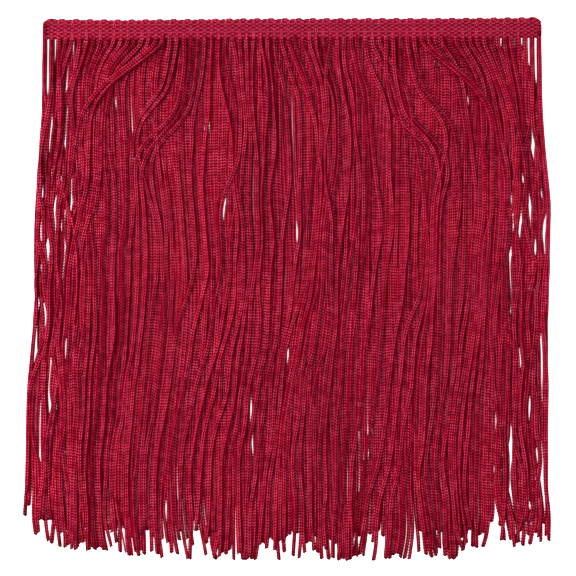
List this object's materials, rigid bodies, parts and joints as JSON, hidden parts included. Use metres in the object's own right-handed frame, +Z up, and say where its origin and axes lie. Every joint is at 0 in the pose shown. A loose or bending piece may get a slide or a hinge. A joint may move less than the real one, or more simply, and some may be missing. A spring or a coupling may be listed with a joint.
{
  "type": "chainette fringe trim",
  "caption": "Square cut length of crimson chainette fringe: a narrow flat woven heading with a dense skirt of fine chained cords, laid out flat.",
  "frame": {"origin": "middle of the heading's flat back, on the surface that the trim lies on", "axes": "+X along the heading to the right as seen face on, +Y from the strand tips up to the heading, +Z up off the surface, out of the trim's face"},
  "size_m": [0.149, 0.152, 0.0024],
  "materials": {
    "heading_weave": "crimson rayon yarn in a tight warp-faced plain weave, soft sheen",
    "chainette": "crimson rayon chain-stitched cord, silky sheen on each stitch"
  },
  "bodies": {
    "root": {"heading": "heading_weave", "fringe_under": "chainette", "fringe_middle": "chainette", "fringe_over": "chainette"}
  },
  "joints": []
}
